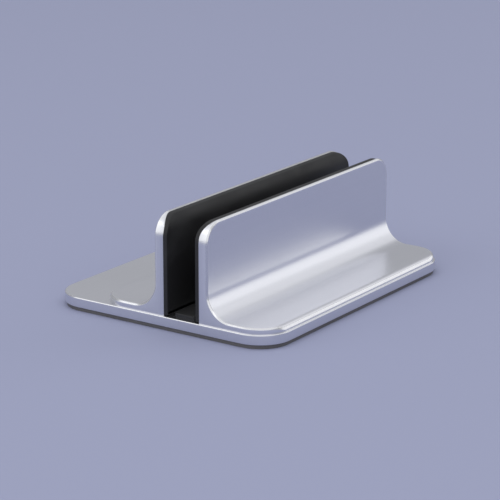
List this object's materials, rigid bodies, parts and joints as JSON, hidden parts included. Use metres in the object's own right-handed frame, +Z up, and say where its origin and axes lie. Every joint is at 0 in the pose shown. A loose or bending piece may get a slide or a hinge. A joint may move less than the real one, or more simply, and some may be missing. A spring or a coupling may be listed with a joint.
{
  "type": "vertical laptop stand",
  "caption": "Desk stand that holds a closed laptop upright between padded L-shaped aluminium jaws on a flat base; the rear jaw slides to set the width of the slot.",
  "frame": {"origin": "on the desk, under the middle of the base plate", "axes": "+X along the slot, -Y to the front, where the fixed jaw is, +Z up"},
  "size_m": [0.152, 0.12, 0.0518],
  "materials": {
    "anodised_aluminium": "bead-blasted and clear anodised, with bright-cut chamfers",
    "pad_silicone": "matt black moulded silicone",
    "mat_silicone": "matt dark grey silicone sheet",
    "screw_steel": "nickel-plated steel"
  },
  "bodies": {
    "stand": {"base_plate": "anodised_aluminium", "base_mat": "mat_silicone", "front_jaw": "anodised_aluminium", "front_jaw_pad": "pad_silicone", "front_jaw_screws": "screw_steel", "slot_floor_pad": "pad_silicone"},
    "sliding_jaw": {"rear_jaw": "anodised_aluminium", "rear_jaw_pad": "pad_silicone", "clamp_washers": "screw_steel"},
    "left_screw": {"left_clamp_screw": "screw_steel"},
    "right_screw": {"right_clamp_screw": "screw_steel"}
  },
  "joints": [
    {"name": "rear_jaw_slide", "type": "slide", "parent": "stand", "child": "sliding_jaw", "axis": [0, 1, 0], "range_m": [-0.003, 0.025]},
    {"name": "left_screw_turn", "type": "hinge", "parent": "sliding_jaw", "child": "left_screw", "pos_m": [-0.048, 0.001, 0.0042], "axis": [0, 0, -1], "range_deg": [0, 360]},
    {"name": "right_screw_turn", "type": "hinge", "parent": "sliding_jaw", "child": "right_screw", "pos_m": [0.048, 0.001, 0.0042], "axis": [0, 0, -1], "range_deg": [0, 360]}
  ]
}
